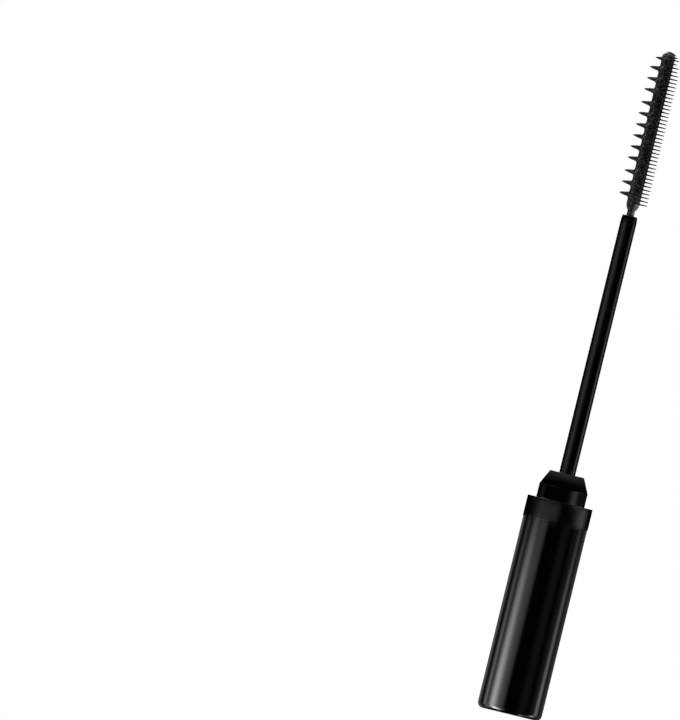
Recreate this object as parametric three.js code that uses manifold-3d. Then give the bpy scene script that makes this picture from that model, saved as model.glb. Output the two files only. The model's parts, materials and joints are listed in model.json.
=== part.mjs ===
// Mascara applicator: a closed glossy handle with a satin collar, a stopper plug, a slim
// rod and a moulded brush that has long teeth on one side and fine bristles on the other.
// Millimetres, +Z up. The origin is the centre of the handle's flat foot, the wand stands
// upright, the long teeth point to -X and the fine bristles to +X.

import * as THREE from 'three';
import { mergeGeometries, mergeVertices } from 'three/addons/utils/BufferGeometryUtils.js';
import Module from 'manifold-3d';

const wasm = await Module();
wasm.setup();

// Fits and fineness shared by all the pieces
const pushClearance = 0.1; // radial gap between pieces that are pushed together
const cutOverrun = 0.5; // how far a cutting shape runs past the face it opens
const weldDistance = 0.0001; // corners nearer than this are one corner
const handleSides = 48;
const rodSides = 24;
const cornerSteps = 4;

// Handle shell: a glossy cup, closed at the foot
const shellDiameter = 12.8;
const shellLength = 38.3;
const shellWall = 0.8;
const footThickness = 1.2;
const footCornerRadius = 1.1;
const footInnerRadius = 0.3;

// Collar: a satin band with a skirt that is pushed into the shell's mouth
const collarStep = 0.1; // how far the band stands proud of the shell
const collarHeight = 4.2;
const collarChamfer = 0.1;
const skirtLength = 4.0;
const skirtWall = 0.575;
const skirtLeadIn = 0.3;

// Stopper plug: stands out of the collar and seals the bottle's mouth
const plugFlangeHeight = 1.2;
const plugRise = 2.73; // straight part above the collar
const noseHeight = 2.93;
const noseChamfer = 1.425; // how far the nose draws in
const plugWall = 0.9;
const plugRoof = 1.3;
const plugWebThickness = 0.8;
const rodBossWall = 0.8;

// Core sleeve: fills the shell and holds the rod's barbed shank
const sleeveWall = 1.0;
const sleeveDeck = 1.2;
const socketWall = 0.9;
const socketRoom = 0.3; // how far the socket runs past the shank's end
const gripRibHeight = 0.25;
const gripRibWidth = 0.6;
const gripRibEndGap = 1.5;
const gripRibCount = 12;

// Applicator rod: a barbed shank, a head that is trapped by the plug, and a long stem
const rodDiameter = 3.2;
const rodReach = 51.75; // from the plug's nose to the rod's tip
const rodHeadOverhang = 1.0;
const rodHeadHeight = 0.9;
const rodTipLength = 1.6;
const rodTipDrop = 0.22; // how far the tip is rounded in
const shankDiameter = 2.2;
const shankLength = 10.0;
const shankTip = 0.3;
const barbHeight = 0.2;
const barbLength = 1.2;
const barbPitch = 2.6;
const barbCount = 3;
const mouthLipDepth = 1.0;

// Brush core: root in the rod's bore, neck, flare, straight core and dome
const brushRootLength = 8.0;
const brushNeckDiameter = 1.5;
const brushNeckLength = 1.0;
const brushFlareLength = 1.46;
const brushCoreDiameter = 2.57;
const brushLength = 32.88; // from the rod's tip to the end of the dome
const beadHeight = 0.13;
const beadLength = 0.5;
const beadPitch = 2.2;
const beadCount = 2;
const coreSides = 24;
const flareSteps = 4;
const domeSteps = 5;

// Rows along the brush
const firstRowGap = 0.09; // from the end of the flare to the first row
const rowPitch = 0.74;

// Fine bristles: staggered rings, fused to four bands that make up the core's front half
const bandFaceOffset = 0.15; // the bands' flat back, on the bristle side of the axis
const bandCount = 4;
const bristleReach = 2.82; // tip distance from the axis
const bristleRootRadius = 0.18;
const bristleTipRadius = 0.1;
const bristleRootDepth = 0.2;
const bristleSides = 3;
const bristleColumnAngle = 18; // degrees between neighbours in a ring
const domeColumnAngle = 24; // the same on the dome, where the rings are small
const bristlesInWideRing = 9;
const bristlesInNarrowRing = 8;
const topRowLengthShares = [0.75, 0.77, 0.4, 0.59]; // the last rings are shorter
const domeRingLengthShares = [0.35, 0.22];
const domeRingTurnShares = [0.16, 0.43]; // of the quarter turn from the dome's rim
const bristlesInDomeRing = 5;

// Long teeth: three columns on the other side, every third row, in three mould groups
const toothReach = 3.17; // tip distance from the axis
const toothRootRadius = 0.66;
const toothSides = 8;
const toothColumnAngles = [-110, -180, 110]; // degrees from the middle of the bristle side
const toothGroups = [3, 6, 4];
const toothRowStep = 3;
const toothFirstRow = 2;
const topToothLengthShare = 0.64;
const topToothWidthShare = 0.7;
const topToothDrop = 0.2; // below its place in the column
// Each pair is a share of the tooth's length and a share of its root radius
const toothProfileShares = [[-0.14, 1.25], [0, 1], [0.1, 0.74], [0.5, 0.5], [0.85, 0.26], [1, 0]];

// Finishes
const glossBlack = { color: 0x070708, roughness: 0.08, metalness: 0 };
const satinBlack = { color: 0x17171a, roughness: 0.38, metalness: 0.6 };
const sleeveBlack = { color: 0x1b1b1d, roughness: 0.55, metalness: 0 };
const plugBlack = { color: 0x0a0a0b, roughness: 0.25, metalness: 0 };
const rodBlack = { color: 0x08080a, roughness: 0.2, metalness: 0 };
const brushBlack = { color: 0x0d0d0e, roughness: 0.45, metalness: 0 };

// Sizes that follow from the ones above
const shellRadius = shellDiameter / 2;
const shellBoreRadius = shellRadius - shellWall;
const collarRadius = shellRadius + collarStep;
const skirtRadius = shellBoreRadius - pushClearance;
const plugRadius = skirtRadius - skirtWall - pushClearance;
const noseRadius = plugRadius - noseChamfer;
const rodRadius = rodDiameter / 2;
const rodHeadRadius = rodRadius + rodHeadOverhang;
const rodHoleRadius = rodRadius + pushClearance;
const shankRadius = shankDiameter / 2;
const barbRadius = shankRadius + barbHeight;
const socketRadius = barbRadius + pushClearance;
const plugSeatHeight = plugFlangeHeight + skirtLength + collarHeight;
const plugShoulderHeight = plugSeatHeight + plugRise;
const plugHeight = plugShoulderHeight + noseHeight;
const sleeveLength = shellLength - skirtLength - plugFlangeHeight - footThickness;
const rodLength = plugHeight + rodReach;
const neckRadius = brushNeckDiameter / 2;
const beadRadius = neckRadius + beadHeight;
const brushCoreRadius = brushCoreDiameter / 2;
const domeBaseHeight = brushLength - brushCoreRadius;
const firstRowHeight = brushNeckLength + brushFlareLength + firstRowGap;
const rowCount = 1 + Math.floor((domeBaseHeight - firstRowHeight) / rowPitch);
const bandBaseHeight = firstRowHeight - rowPitch / 2;

// Points on an arc round [radius, height], from one angle to another
function arc(centreRadius, centreHeight, size, fromDegrees, toDegrees, steps) {
  const points = [];
  for (let step = 0; step <= steps; step += 1) {
    const angle = THREE.MathUtils.degToRad(THREE.MathUtils.lerp(fromDegrees, toDegrees, step / steps));
    points.push([centreRadius + size * Math.cos(angle), centreHeight + size * Math.sin(angle)]);
  }
  return points;
}

// Turns an outline of [radius, height] pairs, which runs from the foot outwards and up,
// round the Z axis
function revolve(outline, sides) {
  const points = outline.map(([radius, height]) => new THREE.Vector2(radius, height));
  const geometry = new THREE.LatheGeometry(points, sides);
  geometry.rotateX(Math.PI / 2);
  return geometry;
}

// The same for a ring, whose outline closes on itself
function revolveRing(outline, sides) {
  return revolve([...outline, outline[0]], sides);
}

// A geometry as a solid for cuts and joins: shared corners welded, empty faces left out
function toSolid(geometry) {
  const bare = new THREE.BufferGeometry();
  bare.setAttribute('position', geometry.getAttribute('position').clone());
  bare.setIndex(geometry.getIndex());
  const welded = mergeVertices(bare, weldDistance);
  const corners = welded.getIndex().array;
  const faces = [];
  for (let first = 0; first < corners.length; first += 3) {
    const [a, b, c] = corners.slice(first, first + 3);
    if (a !== b && b !== c && c !== a) faces.push(a, b, c);
  }
  const vertProperties = welded.getAttribute('position').array;
  return new wasm.Manifold(new wasm.Mesh({ numProp: 3, vertProperties, triVerts: new Uint32Array(faces) }));
}

// A solid back as a geometry
function toGeometry(solid) {
  const mesh = solid.getMesh();
  const geometry = new THREE.BufferGeometry();
  geometry.setAttribute('position', new THREE.BufferAttribute(mesh.vertProperties, mesh.numProp));
  geometry.setIndex(new THREE.BufferAttribute(mesh.triVerts, 1));
  geometry.computeVertexNormals();
  return geometry;
}

// A block between two corners
function block(low, high) {
  const size = high.map((value, axis) => value - low[axis]);
  const geometry = new THREE.BoxGeometry(...size);
  geometry.translate(...high.map((value, axis) => (value + low[axis]) / 2));
  return geometry;
}

// The glossy cup, its foot at height zero
function handleShell() {
  const footFlat = shellRadius - footCornerRadius;
  const floorFlat = shellBoreRadius - footInnerRadius;
  const outline = [
    [0, 0],
    ...arc(footFlat, footCornerRadius, footCornerRadius, -90, 0, cornerSteps),
    [shellRadius, shellLength],
    [shellBoreRadius, shellLength],
    ...arc(floorFlat, footThickness + footInnerRadius, footInnerRadius, 0, -90, cornerSteps),
    [0, footThickness],
  ];
  return revolve(outline, handleSides);
}

// The satin band and its skirt, with the shoulder that meets the shell's rim at height zero
function collarRing() {
  const boreRadius = plugRadius + pushClearance;
  const outline = [
    [boreRadius, -skirtLength],
    [skirtRadius - skirtLeadIn, -skirtLength],
    [skirtRadius, skirtLeadIn - skirtLength],
    [skirtRadius, 0],
    [collarRadius - collarChamfer, 0],
    [collarRadius, collarChamfer],
    [collarRadius, collarHeight - collarChamfer],
    [collarRadius - collarChamfer, collarHeight],
    [boreRadius, collarHeight],
  ];
  return revolveRing(outline, handleSides);
}

// The hollow between the plug's wall and the boss round the rod, less its cross of webs
function plugPocket() {
  const outerRadius = plugRadius - plugWall;
  const bossRadius = rodHoleRadius + rodBossWall;
  const hollow = revolveRing([
    [bossRadius, -cutOverrun],
    [outerRadius, -cutOverrun],
    [outerRadius, plugShoulderHeight],
    [bossRadius, plugHeight - plugRoof],
  ], handleSides);
  const webReach = outerRadius + cutOverrun;
  const webHalf = plugWebThickness / 2;
  const low = -2 * cutOverrun;
  const webAlongX = block([-webReach, -webHalf, low], [webReach, webHalf, plugHeight]);
  const webAlongY = block([-webHalf, -webReach, low], [webHalf, webReach, plugHeight]);
  return toSolid(hollow).subtract(toSolid(webAlongX)).subtract(toSolid(webAlongY));
}

// The stopper: flange under the collar's skirt, straight barrel, drawn-in nose, open below
function stopperPlug() {
  const headRoomRadius = rodHeadRadius + pushClearance;
  const outline = [
    [headRoomRadius, 0],
    [skirtRadius, 0],
    [skirtRadius, plugFlangeHeight],
    [plugRadius, plugFlangeHeight],
    [plugRadius, plugShoulderHeight],
    [noseRadius, plugHeight],
    [rodHoleRadius, plugHeight],
    [rodHoleRadius, rodHeadHeight],
    [headRoomRadius, rodHeadHeight],
  ];
  const body = toSolid(revolveRing(outline, handleSides));
  return toGeometry(body.subtract(plugPocket()));
}

// The sleeve that fills the shell, with its deck, the rod's socket and the grip ribs
function coreSleeve() {
  const sleeveRadius = skirtRadius - gripRibHeight;
  const socketOuterRadius = socketRadius + socketWall;
  const socketFoot = sleeveLength - shankLength - socketRoom;
  const deckUnderside = sleeveLength - sleeveDeck;
  let sleeve = toSolid(revolveRing([
    [sleeveRadius - sleeveWall, 0],
    [sleeveRadius - footInnerRadius, 0],
    [sleeveRadius, footInnerRadius],
    [sleeveRadius, sleeveLength],
    [socketRadius, sleeveLength],
    [socketRadius, socketFoot],
    [socketOuterRadius, socketFoot],
    [socketOuterRadius, deckUnderside],
    [sleeveRadius - sleeveWall, deckUnderside],
  ], handleSides));
  const ribHalf = gripRibWidth / 2;
  const ribFoot = sleeveRadius - sleeveWall / 2;
  const ribTop = sleeveLength - gripRibEndGap;
  for (let rib = 0; rib < gripRibCount; rib += 1) {
    const bar = block([ribFoot, -ribHalf, gripRibEndGap], [skirtRadius, ribHalf, ribTop]);
    bar.rotateZ(2 * Math.PI * rib / gripRibCount);
    sleeve = sleeve.add(toSolid(bar));
  }
  return toGeometry(sleeve);
}

// Sawteeth on the rod's shank, sharp side up, so that it can't be pulled out
function shankBarbs() {
  const points = [];
  for (let barb = 0; barb < barbCount; barb += 1) {
    const foot = shankTip + barb * barbPitch - shankLength;
    points.push([shankRadius, foot], [barbRadius, foot + barbLength], [shankRadius, foot + barbLength]);
  }
  return points;
}

// The rod, with the underside of its head at height zero and a blind bore in its tip
function applicatorRod() {
  const lipRadius = neckRadius + pushClearance;
  const boreRadius = beadRadius + pushClearance;
  const boreFloor = rodLength - brushRootLength - pushClearance;
  const tipArc = arc(0, 0, 1, 0, 90, cornerSteps);
  const tip = tipArc.map(([across, along]) => [
    rodRadius - rodTipDrop + rodTipDrop * across,
    rodLength - rodTipLength + rodTipLength * along,
  ]);
  const outline = [
    [0, -shankLength],
    [shankRadius - shankTip, -shankLength],
    ...shankBarbs(),
    [shankRadius, 0],
    [rodHeadRadius, 0],
    [rodHeadRadius, rodHeadHeight],
    [rodRadius, rodHeadHeight],
    ...tip,
    [lipRadius, rodLength],
    [lipRadius, rodLength - mouthLipDepth],
    [boreRadius, rodLength - mouthLipDepth],
    [boreRadius, boreFloor],
    [0, boreFloor],
  ];
  return revolve(outline, rodSides);
}

// Round beads on the brush's root, which snap past the lip in the rod's mouth
function rootBeads() {
  const points = [];
  for (let bead = 0; bead < beadCount; bead += 1) {
    const foot = beadLength + bead * beadPitch - brushRootLength;
    points.push([neckRadius, foot], [beadRadius, foot + beadLength / 2], [neckRadius, foot + beadLength]);
  }
  return points;
}

// The whole core as one turned solid, with the rod's tip at height zero. The flare widens
// as a parabola and the end is half a ball.
function brushCore() {
  const outline = [[0, -brushRootLength], [neckRadius, -brushRootLength], ...rootBeads()];
  for (let step = 0; step <= flareSteps; step += 1) {
    const along = step / flareSteps;
    const widening = 1 - (1 - along) ** 2;
    outline.push([
      THREE.MathUtils.lerp(neckRadius, brushCoreRadius, widening),
      brushNeckLength + brushFlareLength * along,
    ]);
  }
  outline.push(...arc(0, domeBaseHeight, brushCoreRadius, 0, 90, domeSteps).slice(0, -1));
  outline.push([0, brushLength]);
  return toSolid(revolve(outline, coreSides));
}

// The space of the bristle bands between two heights: all that lies past their flat back
function bandSpace(low, high) {
  const reach = bristleReach + cutOverrun;
  return toSolid(block([bandFaceOffset, -reach, low], [reach, reach, high]));
}

// Distance from the axis to the core's skin at a height on the straight part or the dome
function skinRadius(height) {
  const aboveBase = Math.max(height - domeBaseHeight, 0);
  return Math.sqrt(brushCoreRadius ** 2 - aboveBase ** 2);
}

// One bristle: a slim taper that points away from the axis, at an angle from +X
function bristle(height, degrees, lengthShare) {
  const skin = skinRadius(height);
  const root = skin - bristleRootDepth;
  const tip = skin + (bristleReach - brushCoreRadius) * lengthShare;
  const strand = new THREE.CylinderGeometry(bristleTipRadius, bristleRootRadius, tip - root, bristleSides);
  strand.rotateZ(-Math.PI / 2);
  strand.translate((root + tip) / 2, 0, 0);
  strand.rotateZ(THREE.MathUtils.degToRad(degrees));
  strand.translate(0, 0, height);
  return strand;
}

// A ring of bristles, fanned evenly to both sides of +X
function bristleRing(height, count, columnAngle, lengthShare) {
  const ring = [];
  for (let column = 0; column < count; column += 1) {
    const place = column - (count - 1) / 2;
    ring.push(bristle(height, place * columnAngle, lengthShare));
  }
  return ring;
}

// The rings on the straight part: wide and narrow ones in turn, the last ones shorter
function straightRing(row) {
  const fromTop = row - (rowCount - topRowLengthShares.length);
  const lengthShare = fromTop < 0 ? 1 : topRowLengthShares[fromTop];
  const count = row % 2 === 0 ? bristlesInWideRing : bristlesInNarrowRing;
  return bristleRing(firstRowHeight + row * rowPitch, count, bristleColumnAngle, lengthShare);
}

// The rings on the dome
function domeRings() {
  return domeRingTurnShares.flatMap((turnShare, ring) => {
    const height = domeBaseHeight + brushCoreRadius * Math.sin(turnShare * Math.PI / 2);
    return bristleRing(height, bristlesInDomeRing, domeColumnAngle, domeRingLengthShares[ring]);
  });
}

// One band: a slice of the core's front half with its rings. The last one has the dome.
function bristleBand(core, band) {
  const rowsInBand = rowCount / bandCount;
  const firstRow = Math.round(band * rowsInBand);
  const endRow = Math.round((band + 1) * rowsInBand);
  const isLast = band === bandCount - 1;
  const low = bandBaseHeight + firstRow * rowPitch;
  const high = isLast ? brushLength + cutOverrun : bandBaseHeight + endRow * rowPitch;
  const strands = isLast ? domeRings() : [];
  for (let row = firstRow; row < endRow; row += 1) strands.push(...straightRing(row));
  const bristled = core.add(toSolid(mergeGeometries(strands)));
  return toGeometry(bristled.intersect(bandSpace(low, high)));
}

// One long tooth: a lathe-turned spike with a flared root, laid to point along +X
function longTooth(lengthShare, widthShare) {
  const length = (toothReach - brushCoreRadius) * lengthShare;
  const rootRadius = toothRootRadius * widthShare;
  const outline = toothProfileShares.map(([along, across]) => [rootRadius * across, length * along]);
  outline.unshift([0, outline[0][1]]);
  const spike = revolve(outline, toothSides);
  spike.rotateY(Math.PI / 2);
  spike.translate(brushCoreRadius, 0, 0);
  return spike;
}

// Heights of the long teeth: every third row, half a row further on after each group,
// as far as the rows go
function toothHeights() {
  const heights = [];
  toothGroups.forEach((count, group) => {
    for (let tooth = 0; tooth < count; tooth += 1) {
      const row = toothFirstRow + heights.length * toothRowStep + group / 2;
      if (row < rowCount) heights.push(firstRowHeight + row * rowPitch);
    }
  });
  return heights;
}

// The toothed half: root, neck, flare and the core's back half, with its columns of teeth
function brushComb(core) {
  const heights = toothHeights();
  let comb = core;
  for (const degrees of toothColumnAngles) {
    const column = heights.map((height, index) => {
      const isTop = index === heights.length - 1;
      const tooth = isTop ? longTooth(topToothLengthShare, topToothWidthShare) : longTooth(1, 1);
      tooth.rotateZ(THREE.MathUtils.degToRad(degrees));
      tooth.translate(0, 0, isTop ? height - topToothDrop : height);
      return tooth;
    });
    comb = comb.add(toSolid(mergeGeometries(column)));
  }
  return toGeometry(comb.subtract(bandSpace(bandBaseHeight, brushLength + cutOverrun)));
}

// A named piece with a material of its own
function piece(name, geometry, finish) {
  const mesh = new THREE.Mesh(geometry, new THREE.MeshStandardMaterial(finish));
  mesh.name = name;
  return mesh;
}

// The handle with everything that is pushed into it
function handle() {
  const group = new THREE.Group();
  const shell = piece('handle_shell', handleShell(), glossBlack);
  const collar = piece('collar_ring', collarRing(), satinBlack);
  collar.position.z = shellLength;
  const sleeve = piece('core_sleeve', coreSleeve(), sleeveBlack);
  sleeve.position.z = footThickness;
  group.add(shell, collar, sleeve);
  return group;
}

// The brush, which stands on the rod's tip
function brush() {
  const group = new THREE.Group();
  const core = brushCore();
  group.add(piece('brush_comb', brushComb(core), brushBlack));
  for (let band = 0; band < bandCount; band += 1) {
    group.add(piece(`bristle_band_${band + 1}`, bristleBand(core, band), brushBlack));
  }
  group.position.z = rodLength;
  return group;
}

// The wand: plug and rod, which rest on the sleeve's deck, and the brush
function wand() {
  const group = new THREE.Group();
  const plug = piece('stopper_plug', stopperPlug(), plugBlack);
  const rod = piece('applicator_rod', applicatorRod(), rodBlack);
  group.add(plug, rod, brush());
  group.position.z = footThickness + sleeveLength;
  return group;
}

const applicator = new THREE.Group();
applicator.add(handle(), wand());

export default applicator;
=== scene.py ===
"""Looks of the mascara applicator: turned pieces, finishes, studio and camera.

Everything is in metres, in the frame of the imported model: the wand stands along +Z on
its flat foot, the long teeth point to -X and the fine bristles to +X.
"""

from __future__ import annotations

import json
import logging
import math
from dataclasses import dataclass
from enum import Enum

import bpy
import numpy as np
from mathutils import Matrix, Vector

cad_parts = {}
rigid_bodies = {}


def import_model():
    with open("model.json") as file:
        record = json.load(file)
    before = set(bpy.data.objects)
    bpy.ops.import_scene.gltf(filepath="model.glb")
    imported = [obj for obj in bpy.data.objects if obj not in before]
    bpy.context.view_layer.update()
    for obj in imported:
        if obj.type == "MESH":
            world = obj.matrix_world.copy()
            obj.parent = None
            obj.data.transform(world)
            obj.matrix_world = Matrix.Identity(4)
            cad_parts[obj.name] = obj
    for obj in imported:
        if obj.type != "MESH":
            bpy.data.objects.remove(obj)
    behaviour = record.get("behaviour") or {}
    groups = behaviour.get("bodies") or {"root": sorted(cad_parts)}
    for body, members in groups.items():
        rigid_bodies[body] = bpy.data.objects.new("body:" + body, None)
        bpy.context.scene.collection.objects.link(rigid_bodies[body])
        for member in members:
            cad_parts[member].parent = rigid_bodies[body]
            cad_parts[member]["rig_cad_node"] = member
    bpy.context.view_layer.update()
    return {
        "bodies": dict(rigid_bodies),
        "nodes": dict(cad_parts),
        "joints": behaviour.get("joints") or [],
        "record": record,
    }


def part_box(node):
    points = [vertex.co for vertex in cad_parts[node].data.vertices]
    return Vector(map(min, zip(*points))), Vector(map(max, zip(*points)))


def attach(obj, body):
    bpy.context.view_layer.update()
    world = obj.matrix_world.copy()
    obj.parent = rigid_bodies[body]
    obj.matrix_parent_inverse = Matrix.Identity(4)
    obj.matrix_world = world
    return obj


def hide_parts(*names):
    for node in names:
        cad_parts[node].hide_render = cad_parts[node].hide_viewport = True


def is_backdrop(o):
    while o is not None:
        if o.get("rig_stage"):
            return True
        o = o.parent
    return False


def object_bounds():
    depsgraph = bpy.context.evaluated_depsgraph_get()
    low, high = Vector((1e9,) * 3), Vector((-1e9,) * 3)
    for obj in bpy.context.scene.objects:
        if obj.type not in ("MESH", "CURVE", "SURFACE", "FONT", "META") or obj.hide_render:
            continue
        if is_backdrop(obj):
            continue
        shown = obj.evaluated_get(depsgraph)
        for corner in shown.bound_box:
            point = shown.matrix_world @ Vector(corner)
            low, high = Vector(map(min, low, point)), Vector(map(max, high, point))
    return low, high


Socket = bpy.types.NodeSocket
Values = dict[str, float | tuple[float, ...]]

LOG = logging.getLogger("applicator")
BODY = "root"
AXIS_LIMIT = 1e-9  # a radius below it lies on the axis
CREASE_ANGLE = math.radians(32)  # past it the edge between two faces stays sharp
CORNER_STEPS = 5
HOLD_WIDTH = 4e-5
HELD_FROM = 3 * HOLD_WIDTH  # sides longer than this are held straight
FINE_SIDES = 192
ROD_SIDES = 96
SKIRT_WALL = 0.575e-3  # of the collar's skirt, which the plug's barrel stands in
FIT = 0.1e-3  # clearance round the plug's barrel and in its bore
ROD_RADIUS = 1.6e-3
HEAD_HEIGHT = 0.9e-3  # of the rod's head, which the plug traps
NO_TRIANGLES = np.empty((0, 3), int)
WHITE = (1.0, 1.0, 1.0, 1.0)
TINT = (1.0, 1.0, 1.05)
PATCH_SPAN = (0.42, 0.64)  # the noise that the two colours lie at
GLOSS_SPAN = (0.3, 0.7)  # the noise that the two limits of the roughness lie at
PATCH_DETAIL, GLOSS_DETAIL, RELIEF_DETAIL = 3, 5, 2  # finer layers of the noises


# Surfaces


@dataclass
class Surface:
    """A closed surface, or several, held as arrays.

    Attributes:
        points: one row of x, y and z for each point.
        quads: four point numbers for each four-sided face.
        triangles: three point numbers for each three-sided face.
    """

    points: np.ndarray
    quads: np.ndarray
    triangles: np.ndarray

    @classmethod
    def turned(
        cls, outline: np.ndarray, sides: int, ring: bool = False, hold: bool = True
    ) -> Surface:
        """Carries an outline round the Z axis.

        A point (r, h) of the outline gives the point (r cos a, r sin a, h) at the
        angle a. Faces point outwards where the outline runs outwards and up. An end
        on the axis becomes one pole, and a ring's outline closes on itself.

        Args:
            outline: rows of radius and height.
            sides: faces round the axis.
            ring: whether the last point joins the first.
            hold: whether long sides are held straight first.

        Returns:
            The turned surface.
        """
        if hold:
            outline = held(outline, ring)
        on_axis = outline[:, 0] < AXIS_LIMIT
        rim = outline[~on_axis]
        turn = np.linspace(0, 2 * np.pi, sides, endpoint=False)
        radius, height = rim[:, :1], np.repeat(rim[:, 1:], sides, axis=1)
        points = np.stack([radius * np.cos(turn), radius * np.sin(turn), height], axis=2)
        points = points.reshape(-1, 3)
        here = np.arange(sides)
        after = np.roll(here, -1)
        last = (len(rim) - 1) * sides
        fans = [NO_TRIANGLES]
        for end, edge in ((0, (after, here)), (-1, (last + here, last + after))):
            if on_axis[end]:
                fans.append(np.stack([np.full(sides, len(points)), *edge], axis=1))
                points = np.vstack([points, [0, 0, outline[end, 1]]])
        return cls(points, lattice(len(rim), sides, ring), np.vstack(fans))

    @classmethod
    def block(cls, low: tuple[float, ...], high: tuple[float, ...]) -> Surface:
        """A block between two corners, as a grid of eight points and six faces."""
        corners = np.array([[x, y, z] for z in (0, 1) for y in (0, 1) for x in (0, 1)])
        points = np.array(low) + corners * (np.array(high) - np.array(low))
        sides = [[0, 2, 3, 1], [4, 5, 7, 6], [0, 1, 5, 4], [2, 6, 7, 3], [0, 4, 6, 2], [1, 3, 7, 5]]
        return cls(points, np.array(sides), NO_TRIANGLES)

    @classmethod
    def joined(cls, parts: list[Surface]) -> Surface:
        """All the parts' points and faces in one surface, in order."""
        starts = np.cumsum([0] + [len(part.points) for part in parts[:-1]])
        return cls(
            np.vstack([part.points for part in parts]),
            np.vstack([part.quads + start for part, start in zip(parts, starts)]),
            np.vstack([part.triangles + start for part, start in zip(parts, starts)]),
        )

    def repeated(self, points: np.ndarray) -> Surface:
        """The same faces on several sets of points.

        Args:
            points: an array of copies by points by three.

        Returns:
            One surface with every copy.
        """
        copies, count, _ = points.shape
        starts = (np.arange(copies) * count)[:, None, None]
        return Surface(
            points.reshape(-1, 3),
            (self.quads[None] + starts).reshape(-1, 4),
            (self.triangles[None] + starts).reshape(-1, 3),
        )

    def to_object(self, name: str) -> bpy.types.Object:
        """Puts the surface into a mesh object at the origin, smooth but for its creases.

        Args:
            name: the piece's name.

        Returns:
            The linked object.
        """
        mesh = bpy.data.meshes.new(name)
        faces = self.quads.tolist() + self.triangles.tolist()
        mesh.from_pydata(self.points.tolist(), [], faces)
        mesh.polygons.foreach_set("use_smooth", np.ones(len(mesh.polygons), bool))
        mesh.set_sharp_from_angle(angle=CREASE_ANGLE)
        mesh.update()
        return linked(name, mesh)


def linked(name: str, data: bpy.types.ID) -> bpy.types.Object:
    """Makes an object of some data and links it into the scene."""
    thing = bpy.data.objects.new(name, data)
    bpy.context.scene.collection.objects.link(thing)
    return thing


def keep(thing: bpy.types.Object, name: str, values: np.ndarray) -> None:
    """Keeps a number for each of a mesh's points in an attribute."""
    attribute = thing.data.attributes.new(name, "FLOAT", "POINT")
    attribute.data.foreach_set("value", values.astype(np.float32))


def lattice(rows: int, columns: int, ring: bool = False) -> np.ndarray:
    """Joins rows of points round the axis to four-sided faces.

    Args:
        rows: how many rows there are.
        columns: points in a row.
        ring: whether the last row joins the first.

    Returns:
        Four point numbers a face. It looks outwards where the rows run upwards.
    """
    here = np.arange(columns)
    after = np.roll(here, -1)
    lower = np.arange(rows)[:, None] * columns
    upper = np.roll(lower, -1, axis=0)
    if not ring:
        lower, upper = lower[:-1], upper[:-1]
    corners = [lower + here, lower + after, upper + after, upper + here]
    return np.stack(corners, axis=2).reshape(-1, 4)


def held(outline: np.ndarray, ring: bool) -> np.ndarray:
    """Adds a point close to each end of an outline's long sides.

    A side's shading blends into its neighbours' between its last two points, so these
    keep the blend short and the rest of the side straight. On a side from p to q of the
    length d they lie at p + (q - p) w / d and q - (q - p) w / d, for the hold's width w.

    Args:
        outline: rows of radius and height.
        ring: whether the last point joins the first.

    Returns:
        The outline with its holding points.
    """
    ends = np.roll(outline, -1, axis=0)
    sides = ends - outline
    lengths = np.linalg.norm(sides, axis=1)
    long = lengths > HELD_FROM
    if not ring:
        long[-1] = False
    steps = sides[long] * HOLD_WIDTH / lengths[long][:, None]
    places = np.flatnonzero(long) + 1
    pairs = np.stack([outline[long] + steps, ends[long] - steps], axis=1)
    return np.insert(outline, np.repeat(places, 2), pairs.reshape(-1, 2), axis=0)


def rounded(corners: list[tuple[float, float, float]], ring: bool = False) -> np.ndarray:
    """Rounds the corners of an outline with arcs.

    At a corner the two sides leave at the half angle b to the line that halves them, so
    an arc of radius q touches each side q / tan b from the corner, and its centre lies
    q / sin b along the halving line. The arc is the touching point turned about it.

    Args:
        corners: radius, height and corner radius of each corner.
        ring: whether the outline closes on itself.

    Returns:
        Rows of radius and height.
    """
    places = np.array([corner[:2] for corner in corners])
    points: list[np.ndarray] = []
    last = len(corners) - 1
    for index, (place, (_, _, size)) in enumerate(zip(places, corners)):
        if size == 0 or (not ring and index in (0, last)):
            points.append(place[None])
            continue
        back = places[index - 1] - place
        ahead = places[(index + 1) % len(corners)] - place
        back, ahead = back / np.linalg.norm(back), ahead / np.linalg.norm(ahead)
        half = math.acos(np.clip(back @ ahead, -1, 1)) / 2
        middle = (back + ahead) / np.linalg.norm(back + ahead)
        centre = place + middle * size / math.sin(half)
        start = place + back * size / math.tan(half) - centre
        side = math.copysign(1, back[1] * ahead[0] - back[0] * ahead[1])
        turn = side * np.linspace(0, math.pi - 2 * half, CORNER_STEPS + 1)
        cos, sin = np.cos(turn), np.sin(turn)
        arc = [start[0] * cos - start[1] * sin, start[0] * sin + start[1] * cos]
        points.append(centre + np.stack(arc, axis=1))
    return np.vstack(points)


# Finishes


class Grain(Enum):
    """How a finish's fine relief runs: its stretch along X, Y and Z."""

    EVEN = (1.0, 1.0, 1.0)
    TURNED = (0.04, 0.04, 1.0)
    DRAWN = (1.0, 1.0, 0.06)


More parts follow.
